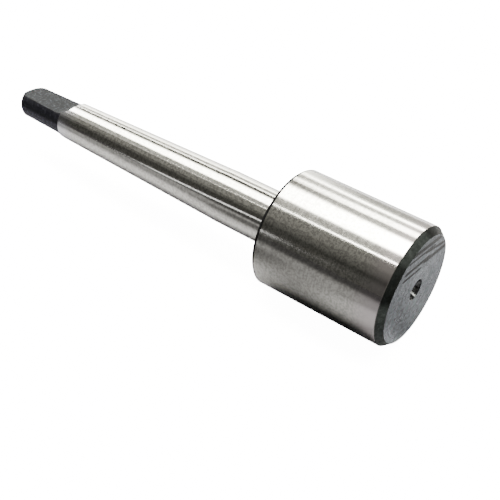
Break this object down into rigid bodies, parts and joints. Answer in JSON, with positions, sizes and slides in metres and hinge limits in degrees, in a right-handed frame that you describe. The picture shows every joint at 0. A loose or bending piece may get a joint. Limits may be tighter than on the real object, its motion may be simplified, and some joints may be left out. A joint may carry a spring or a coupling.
{
  "type": "live center",
  "caption": "Lathe live centre: a Morse taper shank with a milled tang carries a plain cylindrical head that turns on internal bearings and has a centre hole in its front face.",
  "frame": {"origin": "on the axis at the gauge plane of the taper, where the taper meets the parallel collar", "axes": "+X along the axis from the shank towards the front face of the head, +Z normal to the upper flat of the tang, +Y completes the right-handed set"},
  "size_m": [0.1111, 0.0266, 0.0266],
  "materials": {
    "arbor_steel": "ground bright shank, blue-black heat-treated tang",
    "head_steel": "fine-turned bright outside, darker turned front face",
    "ring_steel": "turned, blued",
    "bearing_steel": "lapped",
    "cage_brass": "machined",
    "spring_steel": "oil-blackened",
    "pressed_steel": "drawn sheet",
    "seal_rubber": "moulded, matt"
  },
  "bodies": {
    "arbor": {"taper_arbor": "arbor_steel", "ball_bearing_inner_race": "bearing_steel", "inner_race_circlip": "spring_steel", "thrust_shaft_washer": "bearing_steel"},
    "head": {"rotating_head": "head_steel", "retaining_ring": "ring_steel", "lip_seal": "seal_rubber", "wave_spring": "spring_steel", "ball_bearing_outer_race": "bearing_steel", "thrust_housing_washer": "bearing_steel", "needle_cup": "pressed_steel"},
    "ball_cage_set": {"ball_cage": "cage_brass", "bearing_ball_1": "bearing_steel", "bearing_ball_2": "bearing_steel", "bearing_ball_3": "bearing_steel", "bearing_ball_4": "bearing_steel", "bearing_ball_5": "bearing_steel", "bearing_ball_6": "bearing_steel", "bearing_ball_7": "bearing_steel", "bearing_ball_8": "bearing_steel", "bearing_ball_9": "bearing_steel"},
    "thrust_cage_set": {"thrust_cage": "cage_brass", "thrust_ball_1": "bearing_steel", "thrust_ball_2": "bearing_steel", "thrust_ball_3": "bearing_steel", "thrust_ball_4": "bearing_steel", "thrust_ball_5": "bearing_steel", "thrust_ball_6": "bearing_steel", "thrust_ball_7": "bearing_steel", "thrust_ball_8": "bearing_steel", "thrust_ball_9": "bearing_steel", "thrust_ball_10": "bearing_steel"},
    "needle_cage_set": {"needle_cage": "pressed_steel", "needle_roller_1": "bearing_steel", "needle_roller_2": "bearing_steel", "needle_roller_3": "bearing_steel", "needle_roller_4": "bearing_steel", "needle_roller_5": "bearing_steel", "needle_roller_6": "bearing_steel", "needle_roller_7": "bearing_steel", "needle_roller_8": "bearing_steel", "needle_roller_9": "bearing_steel", "needle_roller_10": "bearing_steel"}
  },
  "joints": [
    {"name": "head_spin", "type": "hinge", "parent": "arbor", "child": "head", "pos_m": [0.018, 0, 0], "axis": [1, 0, 0], "continuous": true},
    {"name": "ball_cage_spin", "type": "hinge", "parent": "arbor", "child": "ball_cage_set", "pos_m": [0.0263, 0, 0], "axis": [1, 0, 0], "continuous": true},
    {"name": "thrust_cage_spin", "type": "hinge", "parent": "arbor", "child": "thrust_cage_set", "pos_m": [0.0336, 0, 0], "axis": [1, 0, 0], "continuous": true},
    {"name": "needle_cage_spin", "type": "hinge", "parent": "arbor", "child": "needle_cage_set", "pos_m": [0.0397, 0, 0], "axis": [1, 0, 0], "continuous": true}
  ],
  "couplings": [
    {"joint": "ball_cage_spin", "follows": "head_spin", "ratio": 0.59922},
    {"joint": "thrust_cage_spin", "follows": "head_spin", "ratio": 0.5},
    {"joint": "needle_cage_spin", "follows": "head_spin", "ratio": 0.59615}
  ]
}
